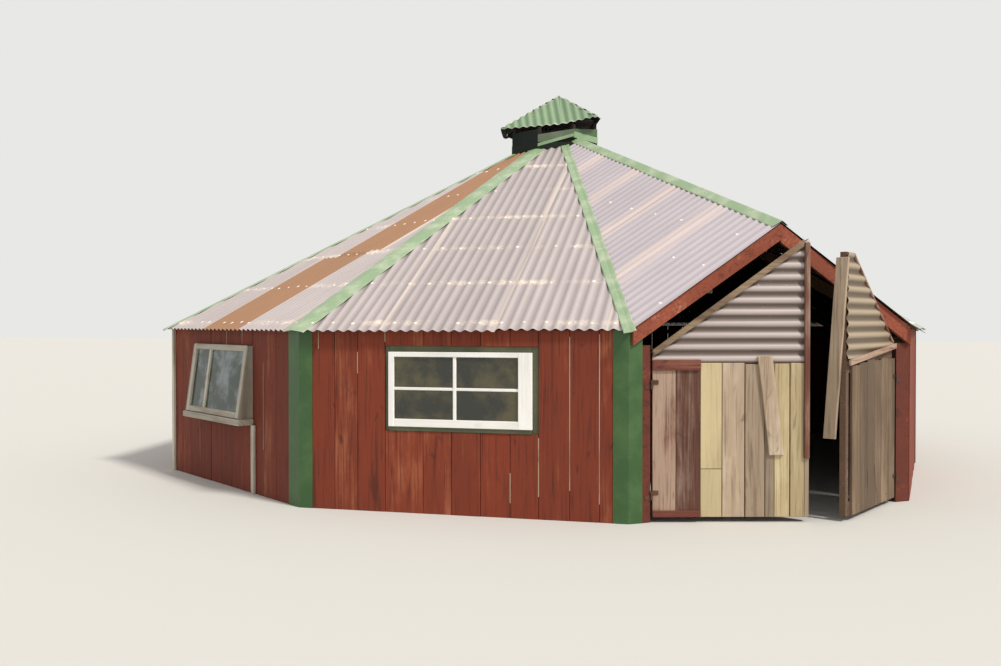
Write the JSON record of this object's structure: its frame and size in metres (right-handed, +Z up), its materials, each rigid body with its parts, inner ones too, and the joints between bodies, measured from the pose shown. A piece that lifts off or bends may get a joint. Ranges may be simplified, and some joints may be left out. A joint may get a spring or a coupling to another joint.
{
  "type": "polygonal timber yurt building",
  "caption": "Low polygonal timber-walled yurt with a corrugated metal roof, vented cupola, gabled entrance with outward-opening double doors and two windows.",
  "frame": {"origin": "on the ground at the middle of the ten-sided plan", "axes": "+Z up; the wall with the white window faces -Y; +X to the right seen from in front of that wall"},
  "size_m": [6.9352, 7.3425, 3.6109],
  "materials": {
    "red_boards": "weathered paint",
    "frame_timber": "rough sawn",
    "green_flashing": "satin",
    "roof_sheet": "weathered galvanised",
    "pale_green_cap": "satin",
    "red_trim": "weathered paint",
    "cupola_green": "satin",
    "white_paint": "gloss paint",
    "weathered_cream": "weathered paint",
    "window_glass": "clear",
    "weathered_boards": "weathered",
    "door_sheet": "weathered galvanised",
    "hinge_iron": "dull"
  },
  "bodies": {
    "building": {"front_wall": "red_boards", "right_front_wall": "red_boards", "right_wall": "red_boards", "right_back_wall": "red_boards", "back_wall": "red_boards", "back_middle_wall": "red_boards", "left_back_wall": "red_boards", "left_wall": "red_boards", "side_window_wall": "red_boards", "corner_posts": "frame_timber", "base_plates": "frame_timber", "wall_plates": "frame_timber", "corner_flashings": "green_flashing", "hip_rafters": "frame_timber", "roof_ring": "frame_timber", "eave_purlins": "frame_timber", "middle_purlins": "frame_timber", "gable_frame": "frame_timber", "roof_sheets": "roof_sheet", "gable_roof_left": "roof_sheet", "gable_roof_right": "roof_sheet", "hip_caps": "pale_green_cap", "ridge_cap": "pale_green_cap", "barge_boards": "red_trim", "door_posts": "red_trim", "cupola_body": "cupola_green", "cupola_skirt": "green_flashing", "cupola_soffit": "frame_timber", "cupola_cap": "pale_green_cap", "front_window_frame": "white_paint", "front_window_glass": "window_glass", "side_window_frame": "weathered_cream", "side_window_sash": "weathered_cream", "side_window_glass": "window_glass", "wall_batten": "weathered_cream", "door_pintles": "hinge_iron"},
    "left_door": {"left_door_frame": "red_trim", "left_door_boards": "weathered_boards", "left_door_sheet": "door_sheet", "left_door_trim": "weathered_boards"},
    "right_door": {"right_door_frame": "red_trim", "right_door_boards": "weathered_boards", "right_door_sheet": "door_sheet", "right_door_plank": "weathered_boards"}
  },
  "joints": [
    {"name": "left_door_hinge", "type": "hinge", "parent": "building", "child": "left_door", "pos_m": [1.29803, -3.47768, 0.9], "axis": [0, 0, -1], "range_deg": [-21, 84]},
    {"name": "right_door_hinge", "type": "hinge", "parent": "building", "child": "right_door", "pos_m": [2.93143, -2.29094, 0.9], "axis": [0, 0, 1], "range_deg": [-30, 75]}
  ]
}
